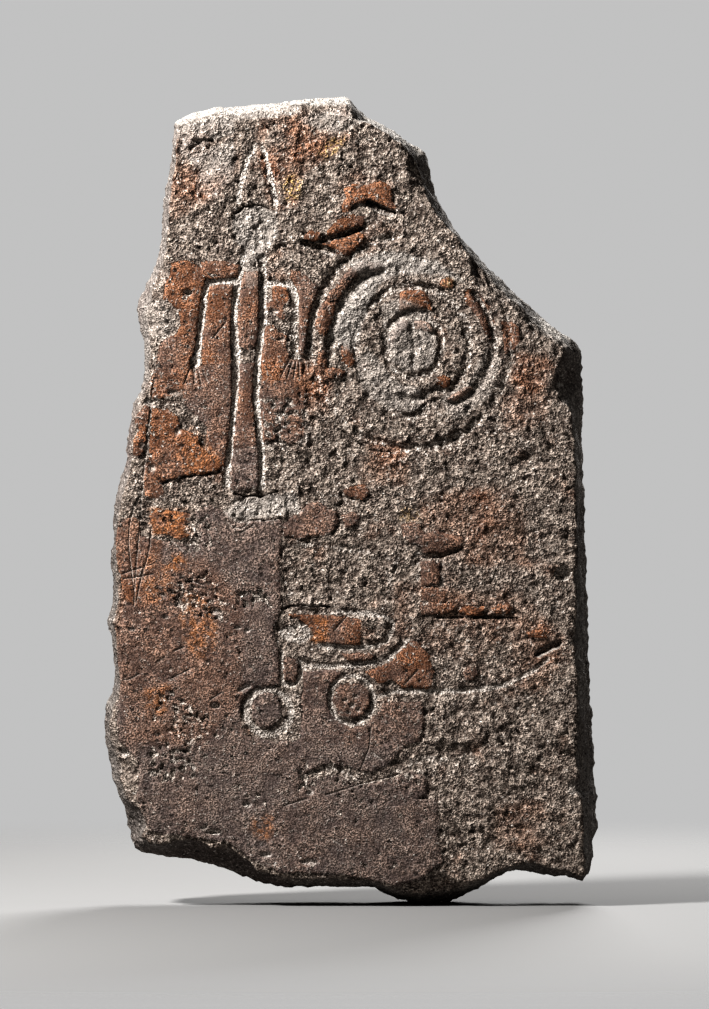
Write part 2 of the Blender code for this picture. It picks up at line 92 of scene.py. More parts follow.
# The carved face, by the turn of the surface and its depth, and the hollows in it
FACE_TURN = (-0.30, -0.65)
FACE_PLANE = (-0.060, -0.072)
MEAN_STEPS = 60
PALE_HOLLOW = (0.0003, 0.0012)
GROOVE_HOLLOW = (0.0006, 0.0016)
DEEP_HOLLOW = (0.0012, 0.0024)
GROOVE_DEPTH = 0.0021
SHIELD_GROOVE_DEPTH = 0.0120
SHIELD_MIDDLE = (411, 342)
SHIELD_REACH = 112
SHIELD_FADE = 0.02

# Sizes and heights of the weathering, in metres
SEED = 3.0
SEED_SHIFT = (0.37, 0.11, 0.73)
SKIN_HEIGHT = 0.0015
SKIN_EDGE = 0.0016
SKIN_GRAIN_HEIGHT = 0.0012
RAGGED_SIZE = 0.014
RAGGED_REACH = 0.0080
WAVY_SHARE = 0.2
SOFT_SHARE = 2.5
FLAKE_SIZE = 0.009
FLAKE_REACH = 0.008
FLAKE_SHARES = (0.36, 0.49)
FLAKE_LOSS = 0.004
GROOVE_LOSS = 0.006
SIDE_LOSS = 0.008
GRAIN_SIZE = 0.0120
GRAIN_HEIGHT = 0.0066
PEBBLE_SIZE = 0.0108
PEBBLE_SHARE = 0.35
LUMP_SIZE = 0.030
LUMP_HEIGHT = 0.0105
SPLIT_SIZE = 0.060
SPLIT_HEIGHT = 0.0060
KNOB_SIZE = 0.0200
KNOB_HEIGHT = 0.0034
KNOB_RISE = (0.57, 0.68)
KNOB_FALL = (0.42, 0.32)
UNEVEN_SIZE = 0.090
SWELL_HEIGHT = 0.0032
SWELL_EDGE = (0.010, -0.002)
PIT_DEPTH = 0.0034
PIT_EDGE = 0.0022
PIT_CORNERS = 8
CUT_WIDTH = 0.0034
CUT_DEPTH = 0.0018
RIFT_CORE = 0.0034
RIFT_WIDTH = 0.0062
RIFT_DEPTH = 0.0045
RIFT_TEAR_SIZE = 0.016
RIFT_TEAR = 0.008
RIFT_SHADE = (0.010, 0.016)
PECKED_EDGE = 0.006
STAIN_REACH = {"Red ground": 0.016, "Pecked": 0.004, "Rust": 0.010, "Lichen": 0.006}
LOW_FROM, LOW_WHOLE = 0.64, 0.52

# Sizes of what the material adds, from the tips of the grains to broad clouds
TIPS_SIZE = 0.0024
FINE_SIZE = 0.0050
COARSE_SIZE = 0.0105
PATCH_SIZE = 0.024
CLOUD_SIZE = 0.055
BROAD_SIZE = 0.160
FRAY_REACH = 0.0055
STRAY_SIZE = 0.0045
STRAY_REACH = 0.0060
CHIP_SIZE, CHIP_SHARE = 0.0082, 0.50
SPECK_SIZE, SPECK_SHARE = 0.0140, 0.40
SPOT_REACH = 0.16
BUMP_DISTANCE = 0.0045
GLOSS = 0.15

# Colours: a darker and a paler tone of each stone, and the stains
GREY_STONE = (0.090, 0.070, 0.058, 1.0), (0.215, 0.178, 0.150, 1.0)
WARM_STONE = (0.105, 0.052, 0.032, 1.0), (0.225, 0.120, 0.075, 1.0)
BROWN_SKIN = (0.074, 0.059, 0.054, 1.0), (0.124, 0.099, 0.086, 1.0)
RED_SKIN = (0.100, 0.047, 0.026, 1.0), (0.176, 0.087, 0.049, 1.0)
SIDE_STONE = (0.110, 0.088, 0.078, 1.0), (0.170, 0.150, 0.135, 1.0)
BACK_STONE = (0.170, 0.140, 0.120, 1.0), (0.290, 0.258, 0.228, 1.0)
FRESH_STONE = (0.270, 0.232, 0.200, 1.0), (0.660, 0.610, 0.560, 1.0)
RUST_STAIN = (0.240, 0.105, 0.042, 1.0)
LICHEN_STAIN = (0.230, 0.150, 0.055, 1.0)
# Painted light: the colour of sides that face up or to the right, made lighter as if lit
PAINTED_LIT_SIDE = (0.350, 0.320, 0.290, 1.0)
BACK_STAIN = (0.180, 0.115, 0.080, 1.0)
PECKED_STONE = (0.315, 0.290, 0.265, 1.0)
FLAKED_STONE = (0.360, 0.320, 0.285, 1.0)
RIFT_SHADOW = (0.030, 0.022, 0.018, 1.0)
SPECK_SHADOW = (0.020, 0.014, 0.011, 1.0)

# Old skin left on the face: how red it is, and its outline on the sheet
SKIN = (
    (1.0, ((202, 262), (212, 261), (222, 261), (234, 265), (240, 266), (239, 277), (222, 278),
           (206, 279), (203, 272))),
    (1.0, ((172, 263), (182, 261), (192, 262), (201, 268), (204, 280), (202, 300), (199, 330),
           (196, 348), (188, 362), (157, 362), (160, 344), (168, 338), (178, 334), (181, 320),
           (178, 309), (170, 302), (163, 298), (165, 288), (169, 278))),
    (0.8, ((157, 362), (188, 362), (193, 374), (183, 388), (176, 394), (162, 398), (151, 397),
           (152, 378))),
    (1.0, ((210, 287), (222, 285), (232, 286), (233, 300), (230, 320), (230, 345), (231, 364),
           (203, 364), (203, 345), (206, 320), (208, 300))),
    (0.45, ((203, 364), (231, 364), (231, 400), (229, 440), (225, 466), (214, 458), (207, 444),
            (206, 425), (196, 415), (184, 404), (183, 388), (193, 374))),
    (0.9, ((245, 272), (258, 272), (259, 300), (258, 325), (256, 345), (250, 350), (240, 346),
           (238, 325), (239, 300), (242, 285))),
    (0.6, ((240, 364), (256, 362), (254, 378), (252, 400), (255, 430), (256, 445), (234, 448),
           (235, 425), (238, 400), (240, 380))),
    (0.3, ((234, 450), (257, 447), (259, 470), (258, 488), (232, 490), (230, 470))),
    (0.9, ((272, 288), (278, 284), (285, 285), (288, 293), (287, 301), (281, 307), (285, 313),
           (283, 320), (276, 314), (267, 309), (266, 303), (273, 301))),
    (1.0, ((266, 327), (275, 325), (278, 333), (287, 336), (285, 346), (289, 356), (284, 367),
           (283, 380), (262, 380), (261, 364), (262, 349), (264, 338))),
    (0.6, ((283, 380), (284, 367), (288, 359), (301, 362), (303, 384))),
    (0.5, ((262, 380), (283, 380), (303, 384), (307, 396), (303, 406), (305, 425), (300, 440),
           (286, 444), (272, 440), (263, 442), (261, 420), (259, 400))),
    (0.7, ((291, 270), (299, 272), (306, 276), (313, 283), (318, 287), (317, 295), (312, 304),
           (309, 316), (307, 331), (306, 346), (304, 355), (299, 354), (300, 335), (300, 315),
           (299, 298), (297, 287), (290, 279))),
    (0.7, ((318, 306), (326, 302), (333, 308), (332, 318), (330, 328), (324, 337), (317, 330),
           (316, 318))),
    (0.8, ((321, 328), (322, 313), (329, 294), (343, 276), (356, 264), (366, 259), (372, 263),
           (363, 271), (352, 280), (342, 292), (334, 308), (331, 324), (325, 334))),
    (0.8, ((370, 264), (379, 262), (384, 266), (378, 271), (370, 270))),
    (1.0, ((401, 292), (418, 290), (424, 292), (429, 300), (432, 311), (426, 308), (414, 307),
           (400, 310), (400, 301))),
    (0.9, ((441, 280), (447, 277), (453, 281), (453, 287), (445, 288), (441, 286))),
    (1.0, ((464, 291), (472, 289), (480, 295), (487, 305), (492, 318), (495, 334), (492, 342),
           (486, 334), (481, 322), (473, 311), (466, 303))),
    (0.5, ((388, 329), (396, 323), (401, 320), (408, 321), (407, 329), (401, 332), (396, 340),
           (388, 344), (386, 337))),
    (1.0, ((414, 321), (421, 320), (429, 323), (434, 330), (430, 332), (421, 328), (415, 329))),
    (0.7, ((502, 322), (514, 322), (519, 330), (519, 342), (513, 352), (506, 354), (504, 340))),
    (0.8, ((457, 392), (466, 387), (475, 387), (471, 394), (462, 398), (456, 401), (447, 399))),
    (1.2, ((437, 378), (444, 375), (450, 379), (450, 385), (442, 387), (437, 384))),
    (0.9, ((317, 353), (324, 350), (328, 358), (326, 368), (318, 364))),
    (1.0, ((342, 346), (350, 344), (355, 350), (355, 362), (349, 368), (342, 360))),
    (0.7, ((324, 369), (336, 368), (345, 372), (342, 378), (328, 378))),
    (1.0, ((344, 190), (350, 185), (357, 184), (363, 187), (370, 184), (380, 181), (389, 185),
           (392, 192), (391, 202), (397, 206), (394, 211), (384, 206), (372, 200), (364, 202),
           (354, 204), (349, 211), (342, 212), (342, 204), (347, 198))),
    (1.0, ((342, 217), (352, 215), (364, 217), (364, 225), (355, 231), (344, 235), (333, 238),
           (325, 239), (328, 231), (336, 223))),
    (1.0, ((322, 244), (332, 240), (345, 236), (358, 231), (364, 235), (363, 241), (356, 249),
           (348, 256), (338, 253), (328, 248))),
    (1.0, ((304, 236), (311, 230), (320, 233), (321, 239), (312, 242), (304, 240))),
    (1.3, ((153, 409), (168, 410), (177, 417), (180, 430), (188, 432), (197, 436), (200, 446),
           (206, 453), (214, 458), (223, 462), (219, 470), (206, 473), (188, 475), (170, 479),
           (157, 484), (149, 474), (150, 450), (151, 428))),
    (1.0, ((134, 441), (140, 426), (146, 425), (145, 445), (141, 456), (133, 454))),
    (0.8, ((133, 421), (146, 404), (150, 410), (148, 424), (139, 426))),
    (0.8, ((146, 462), (152, 470), (160, 482), (163, 492), (158, 498), (146, 497), (143, 480))),
    (0.9, ((119, 521), (133, 518), (140, 521), (140, 545), (138, 580), (136, 606), (126, 600),
           (118, 566), (117, 557), (116, 540))),
    (1.2, ((150, 515), (158, 509), (171, 511), (182, 512), (191, 516), (186, 525), (191, 537),
           (178, 539), (168, 534), (154, 533))),
    (0.6, ((140, 536), (152, 540), (162, 541), (160, 575), (158, 606), (136, 606), (138, 580),
           (140, 560))),
    (0.2, ((126, 600), (136, 606), (158, 606), (160, 575), (162, 541), (198, 546), (200, 530),
           (196, 512), (208, 505), (226, 512), (240, 524), (262, 520), (282, 519), (279, 560),
           (281, 606), (272, 634), (278, 650), (279, 684), (252, 688), (241, 702), (240, 722),
           (247, 736), (119, 740), (115, 690), (118, 640), (122, 615))),
    (0.15, ((119, 740), (247, 736), (276, 743), (300, 740), (400, 748), (392, 762), (372, 772),
            (345, 766), (325, 764), (302, 774), (300, 800), (436, 800), (440, 825), (437, 842),
            (443, 862), (420, 879), (395, 885), (345, 875), (280, 872), (256, 862), (228, 842),
            (190, 837), (150, 831), (137, 800), (140, 764), (131, 752))),
    (0.3, ((303, 690), (304, 672), (336, 670), (342, 673), (329, 686), (327, 704), (336, 720),
           (350, 728), (365, 726), (377, 714), (384, 703), (422, 702), (424, 722), (420, 740),
           (396, 750), (300, 742), (302, 715))),
    (0.15, ((300, 782), (330, 775), (345, 778), (356, 786), (396, 779), (406, 773), (426, 771),
            (426, 796), (400, 802), (300, 802))),
    (0.8, ((289, 615), (318, 615), (345, 617), (361, 619), (360, 645), (318, 642), (312, 628),
           (300, 619))),
    (0.3, ((284, 657), (298, 660), (298, 672), (294, 682), (284, 681))),
    (0.5, ((340, 654), (374, 653), (372, 660), (350, 661))),
    (0.9, ((392, 662), (402, 650), (412, 641), (420, 644), (428, 655), (434, 672), (430, 688),
           (404, 688), (392, 680), (380, 683), (372, 678), (366, 672), (380, 667))),
    (0.45, ((336, 690), (345, 683), (358, 683), (368, 691), (370, 704), (364, 714), (350, 718),
            (338, 712), (333, 700))),
    (0.2, ((252, 706), (258, 696), (268, 692), (277, 697), (281, 708), (279, 720), (270, 727),
           (260, 727), (253, 719))),
    (0.45, ((402, 525), (410, 523), (419, 524), (422, 531), (427, 535), (436, 530), (446, 534),
            (455, 536), (463, 538), (461, 548), (450, 552), (436, 553), (423, 555), (421, 546),
            (412, 543), (404, 538))),
    (0.45, ((421, 562), (430, 561), (439, 562), (440, 576), (438, 585), (422, 585))),
    (0.5, ((421, 588), (436, 588), (445, 592), (446, 600), (422, 600))),
    (0.6, ((420, 603), (436, 602), (452, 604), (454, 611), (440, 614), (421, 614))),
    (1.2, ((459, 612), (464, 606), (470, 605), (476, 608), (484, 607), (484, 614), (472, 616))),
    (0.8, ((492, 609), (500, 604), (508, 603), (513, 608), (508, 613), (496, 613))),
    (0.8, ((527, 632), (534, 630), (543, 631), (547, 638), (538, 637), (529, 637))),
    (0.5, ((463, 672), (468, 667), (475, 668), (479, 673), (474, 680), (465, 680))),
    (0.9, ((343, 490), (352, 486), (366, 485), (369, 492), (363, 500), (352, 497), (345, 495))),
    (0.35, ((284, 522), (298, 514), (310, 504), (320, 502), (326, 508), (337, 513), (338, 521),
            (331, 533), (318, 536), (300, 537), (284, 535))),
    (0.5, ((342, 516), (352, 512), (360, 515), (356, 524), (346, 527))),
)

# Soft stains: how strong each is, and its rough outline
RED_GROUND = (
    (0.7, ((185, 128), (215, 124), (235, 135), (232, 165), (215, 190), (190, 205), (172, 215),
           (170, 180), (176, 150))),
    (0.9, ((262, 125), (300, 118), (345, 112), (350, 130), (330, 150), (300, 170), (292, 200),
           (276, 205), (270, 180), (262, 150))),
    (0.7, ((300, 360), (316, 352), (326, 385), (324, 420), (310, 440), (296, 420))),
    (0.8, ((125, 590), (200, 560), (235, 600), (238, 700), (200, 740), (130, 740), (120, 640))),
    (0.5, ((496, 490), (520, 500), (520, 560), (470, 560), (430, 548), (425, 500))),
    (0.8, ((520, 356), (545, 358), (552, 372), (536, 390), (516, 380))),
    (0.4, ((505, 400), (545, 395), (540, 420), (510, 425))),
    (0.6, ((385, 225), (402, 232), (396, 246), (370, 246), (362, 236))),
    (0.4, ((400, 590), (520, 600), (560, 640), (540, 690), (470, 660), (400, 630))),
    (0.5, ((370, 440), (400, 450), (405, 480), (365, 480))),
    (0.4, ((500, 810), (560, 800), (560, 840), (500, 845))),
)

RUST = (
    (0.45, ((190, 430), (206, 444), (222, 465), (196, 472), (176, 460))),
    (0.65, ((150, 512), (185, 512), (188, 535), (155, 532))),
    (1.0, ((172, 558), (182, 558), (182, 566), (172, 566))),
    (0.6, ((188, 596), (206, 604), (214, 630), (208, 655), (190, 650), (184, 620))),
    (0.4, ((148, 560), (166, 572), (172, 600), (158, 606), (144, 590))),
    (0.6, ((148, 690), (166, 688), (164, 712), (150, 712))),
    (1.0, ((318, 620), (326, 622), (322, 641), (314, 640))),
    (0.6, ((256, 818), (270, 820), (268, 835), (256, 832))),
)

LICHEN = (
    (1.0, ((320, 152), (332, 140), (345, 138), (340, 146), (326, 158))),
    (1.0, ((284, 182), (292, 176), (301, 180), (298, 196), (288, 198))),
    (0.6, ((446, 279), (452, 281), (450, 287), (444, 286))),
    (0.5, ((402, 512), (416, 510), (416, 520), (402, 520))),
)

# Pecked areas, paler and matt: how strong each is, and its outline
PECKED = (
    (0.6, ((236, 214), (246, 208), (262, 207), (274, 214), (277, 228), (273, 242), (262, 249),
           (262, 262), (246, 262), (246, 248), (236, 240), (234, 226))),
    (0.4, ((246, 262), (262, 262), (262, 286), (246, 286))),
    (0.6, ((236, 500), (296, 494), (300, 512), (262, 516), (240, 522), (226, 512))),
    (0.5, ((300, 118), (345, 105), (372, 116), (350, 128), (320, 130))),
    (0.6, ((196, 110), (260, 104), (300, 102), (300, 112), (250, 116), (214, 122))),
    (0.3, ((148, 300), (166, 300), (176, 322), (166, 340), (152, 336), (146, 318))),
    (0.6, ((176, 120), (200, 110), (236, 116), (232, 134), (206, 140), (200, 168), (180, 150))),
    (0.5, ((206, 150), (232, 140), (232, 176), (214, 196), (196, 190))),
    (0.8, ((350, 262), (392, 252), (436, 262), (462, 280), (440, 274), (400, 272), (368, 286))),
    (0.8, ((332, 336), (340, 306), (362, 280), (378, 282), (368, 300), (360, 330), (352, 350))),
    (0.55, ((384, 306), (404, 300), (430, 314), (440, 340), (430, 366), (404, 372), (386, 352))),
    (0.5, ((356, 360), (372, 352), (392, 380), (420, 392), (420, 412), (388, 408), (364, 390))),
    (0.4, ((440, 400), (470, 380), (486, 350), (500, 360), (488, 396), (456, 420))),
)

# Places where the skin is half flaked away
FLAKED = (
    ((184, 520), (206, 518), (214, 546), (188, 550)),
    ((176, 577), (206, 574), (228, 600), (228, 622), (206, 614), (174, 608)),
    ((236, 596), (262, 590), (266, 602), (242, 606)),
    ((300, 772), (330, 764), (352, 770), (362, 786), (330, 780), (302, 788)),
    ((396, 772), (420, 758), (470, 756), (478, 772), (430, 774), (404, 782)),
    ((150, 700), (168, 690), (200, 716), (232, 732), (200, 742), (160, 736)),
    ((262, 402), (306, 398), (306, 446), (262, 446)),
    ((150, 750), (190, 742), (214, 764), (180, 782), (150, 776)),
)

# Places where the whole face rises, above zero, or sinks, below it
SWELLS = (
    (-1.0, ((182, 150), (206, 138), (216, 150), (208, 172), (186, 172))),
    (0.8, ((186, 122), (216, 112), (234, 120), (222, 134), (196, 138))),
    (-0.8, ((246, 118), (268, 112), (282, 124), (262, 136), (248, 134))),
    (0.8, ((268, 138), (292, 134), (300, 160), (284, 172), (270, 160))),
    (-0.8, ((300, 118), (332, 112), (340, 130), (312, 140))),
    (0.7, ((208, 176), (232, 170), (232, 196), (212, 204))),
    (-1.0, ((330, 340), (352, 330), (352, 380), (338, 396), (326, 372))),
    (0.8, ((352, 292), (372, 282), (376, 310), (360, 330))),
    (-1.0, ((440, 440), (480, 432), (486, 456), (450, 466))),
    (0.9, ((500, 424), (536, 416), (544, 446), (510, 456))),
    (-0.8, ((318, 446), (350, 440), (360, 466), (326, 474))),
    (0.8, ((430, 726), (470, 716), (500, 724), (480, 740), (440, 742))),
    (-0.7, ((508, 712), (530, 706), (540, 722), (528, 736), (512, 732))),
    (0.8, ((534, 730), (548, 726), (550, 740), (538, 744))),
    (-0.6, ((436, 752), (462, 746), (480, 754), (474, 764), (450, 762))),
    (0.8, ((476, 756), (500, 750), (520, 762), (500, 776), (480, 770))),
    (-0.8, ((518, 776), (540, 768), (556, 782), (540, 794), (522, 790))),
    (0.7, ((452, 800), (480, 790), (500, 800), (480, 814), (456, 812))),
    (-0.8, ((500, 812), (526, 806), (536, 824), (516, 834), (500, 828))),
    (0.8, ((534, 832), (566, 824), (572, 842), (548, 850))),
    (-0.6, ((446, 838), (474, 830), (486, 844), (462, 852))),
    (-0.9, ((236, 212), (246, 208), (262, 207), (274, 214), (278, 228), (274, 242), (262, 249),
            (246, 248), (236, 240), (233, 226))),
    (0.6, ((286, 210), (304, 204), (306, 222), (292, 228))),
    (-0.7, ((270, 236), (292, 230), (304, 240), (296, 254), (278, 254))),
    (-0.8, ((500, 540), (552, 528), (560, 552), (520, 566))),
    (0.8, ((470, 500), (510, 492), (520, 520), (480, 528))),
    (-0.8, ((398, 180), (420, 196), (440, 232), (424, 240), (404, 212))),
)

# Pits: centre and reach to the right and down
PITS = (
    (188, 292, 4, 2), (215, 706, 4, 2), (214, 832, 8, 2), (204, 828, 3, 1), (266, 855, 5, 2),
    (308, 862, 8, 2), (310, 793, 3, 2), (247, 805, 4, 2), (563, 573, 7, 6), (180, 605, 5, 2),
    (216, 612, 6, 2), (238, 628, 3, 1), (248, 630, 3, 1), (132, 629, 3, 1), (173, 393, 5, 2),
    (178, 431, 2, 3), (152, 468, 3, 3), (142, 446, 3, 3), (281, 339, 4, 2), (274, 311, 4, 2),
    (165, 617, 2, 1), (163, 594, 2, 1), (241, 690, 3, 2), (247, 687, 3, 2), (124, 753, 5, 4),
    (148, 402, 4, 3), (184, 607, 2, 2), (219, 617, 3, 2), (130, 812, 5, 6), (573, 788, 5, 7),
    (352, 705, 2, 2), (345, 700, 2, 1), (356, 696, 2, 1), (358, 709, 2, 2), (349, 712, 2, 1),
)

# Thin cut lines, and deeper dark rifts
CUTS = (
    ((154, 378), (151, 400), (148, 430), (145, 462), (142, 490), (140, 520), (138, 546),
     (135.5, 575), (134, 606)),
    ((140, 496), (133, 510), (129, 528), (128.5, 545), (131, 566), (134, 590)),
    ((151, 528), (150, 545), (146, 562), (141, 578), (136, 603)),
    ((122, 574), (137, 569), (153, 564)),
    ((123, 579), (138, 577), (153, 574)),
    ((194, 363), (189, 371), (184, 384)),
    ((195, 368), (194, 384)),
    ((198.5, 370), (201, 384)),
    ((203, 371), (208, 382)),
    ((289, 361), (285, 368), (281, 377)),
    ((292.5, 362), (287, 378)),
    ((296, 362), (293.5, 379)),
    ((299, 362), (299.5, 379)),
    ((213, 338), (226, 322)),
    ((335, 630), (348, 615)),
    ((404, 685), (418, 670)),
    ((326, 795), (358, 785), (398, 775)),
    ((371, 728), (369, 748), (360, 770)),
    ((160, 538), (169, 539), (182, 550)),
    ((226, 520), (232, 527), (241, 529), (247, 524), (252, 520), (262, 521), (275, 520),
     (281, 518)),
    ((240, 533), (254, 525)),
    ((123, 680), (130, 679), (139, 674)),
    ((172, 678), (190, 669)),
    ((175, 651), (184, 647)),
    ((158, 662), (165, 657)),
    ((190, 581), (203, 585)),
    ((185, 590), (197, 595)),
    ((284, 806), (306, 799)),
    ((210, 700), (222, 692)),
    ((330, 838), (342, 846)),
    ((372, 752), (382, 760)),
)
RIFTS = (
    ((157, 485), (172, 480), (190, 476), (207, 474), (220, 471)),
    ((471, 257), (478, 272), (484, 285)),
    ((537, 655), (548, 649), (560, 643)),
    ((368, 201), (382, 209), (395, 212)),
    ((322, 241), (342, 236), (360, 229)),
    ((304, 244), (318, 247), (334, 253)),
    ((282, 609), (300, 606), (330, 607)),
    ((437, 617), (470, 617), (500, 617), (517, 618)),
    ((423, 557), (440, 557), (452, 553), (462, 548)),
    ((228, 492), (244, 497), (262, 496), (284, 490)),
    ((236, 214), (244, 208), (256, 205), (268, 209)),
    ((190, 150), (200, 142), (212, 140)),
    ((262, 124), (272, 130), (282, 128)),
    ((336, 424), (352, 440), (372, 450), (396, 452)),
    ((505, 712), (514, 722), (520, 734)),
)


def on_sheet(point):
    """A point of the drawing sheet, on the plane through the slab's middle."""
    x, y = point
    return Vector(((x - SHEET_MIDDLE) * UNIT, 0.0, (SHEET_FOOT - y) * UNIT))


class Net:
    """A node tree, of geometry or of a material, with one short call for each kind of node."""

    def __init__(self, tree):
        self.tree = tree

    def add(self, kind, sockets, **settings):
        """A node with its settings; sockets gives its inputs by identifier, set or linked."""
        node = self.tree.nodes.new(kind)
        for name, value in settings.items():
            setattr(node, name, value)
        inputs = {socket.identifier: socket for socket in node.inputs}
        for name, value in sockets.items():
            if isinstance(value, bpy.types.NodeSocket):
                self.tree.links.new(value, inputs[name])
            else:
                inputs[name].default_value = value
        return node

    def math(self, operation, a, b=0.0, c=0.0):
        sockets = {"Value": a, "Value_001": b, "Value_002": c}
        return self.add("ShaderNodeMath", sockets, operation=operation).outputs[0]

    def times(self, a, b):
        return self.math("MULTIPLY", a, b)

    def plus(self, a, b):
        return self.math("ADD", a, b)

    def minus(self, a, b):
        return self.math("SUBTRACT", a, b)

    def times_plus(self, a, b, c):
        """The product of a and b, on top of c."""
        return self.math("MULTIPLY_ADD", a, b, c)

    def step(self, value, start, end, low=0.0, high=1.0):
        """A smooth change from low to high while the value goes from start to end."""
        sockets = {"Value": value, "From Min": start, "From Max": end,
                   "To Min": low, "To Max": high}
        node = self.add("ShaderNodeMapRange", sockets, interpolation_type="SMOOTHSTEP")
        return node.outputs["Result"]

    def noise(self, place, size, detail=2.0, roughness=0.5, colour=False):
        """Noise about one half, with lumps of a size in metres."""
        sockets = {"Vector": place, "Scale": 1.0 / size, "Detail": detail,
                   "Roughness": roughness}
        node = self.add("ShaderNodeTexNoise", sockets)
        return node.outputs["Color" if colour else "Fac"]

    def cells(self, place, size):
        """Cells of a size: the distance from a cell's middle, in cells, and its own colour."""
        sockets = {"Vector": place, "Scale": 1.0 / size}
        return self.add("ShaderNodeTexVoronoi", sockets, feature="F1").outputs

    def vector(self, operation, a, b=(0.0, 0.0, 0.0), scale=1.0):
        sockets = {"Vector": a, "Vector_001": b, "Scale": scale}
        node = self.add("ShaderNodeVectorMath", sockets, operation=operation)
        return node.outputs["Vector"]

    def length(self, a):
        node = self.add("ShaderNodeVectorMath", {"Vector": a}, operation="LENGTH")
        return node.outputs["Value"]

    def parts(self, a):
        """The three parts of a vector or a colour, as X, Y and Z."""
        return self.add("ShaderNodeSeparateXYZ", {"Vector": a}).outputs

    def blend(self, share, a, b):
        """Colour a turning into colour b."""
        sockets = {"Factor_Float": share, "A_Color": a, "B_Color": b}
        node = self.add("ShaderNodeMix", sockets, data_type="RGBA")
        return {socket.identifier: socket for socket in node.outputs}["Result_Color"]


def flat_areas(name, areas):
    """Flat areas of the sheet as one hidden mesh, each face with its strength."""
    mesh = bmesh.new()
    layer = mesh.faces.layers.float.new("strength")
    for strength, outline in areas:
        face = mesh.faces.new([mesh.verts.new(on_sheet(point)) for point in outline])
        face[layer] = strength
    return guide(name, mesh)


def even_areas(name, outlines):
    """Flat areas of the sheet that all have the same strength."""
    return flat_areas(name, [(1.0, outline) for outline in outlines])


def flat_lines(name, lines):
    """Lines of the sheet as one hidden mesh of edges."""
    mesh = bmesh.new()
    for line in lines:
        verts = [mesh.verts.new(on_sheet(point)) for point in line]
        for start, end in zip(verts, verts[1:]):
            mesh.edges.new((start, end))
    return guide(name, mesh)


def guide(name, mesh):
    """A hidden object that the weathering measures from."""
    data = bpy.data.meshes.new(name)
    mesh.to_mesh(data)
    mesh.free()
    shape = bpy.data.objects.new(name, data)
    bpy.context.scene.collection.objects.link(shape)
    shape.hide_render = True
    return shape


def round_pit(x, y, across, down):
    """The rim of a pit on the sheet."""
    turns = [2 * math.pi * i / PIT_CORNERS for i in range(PIT_CORNERS)]
    return [(x + across * math.cos(turn), y + down * math.sin(turn)) for turn in turns]


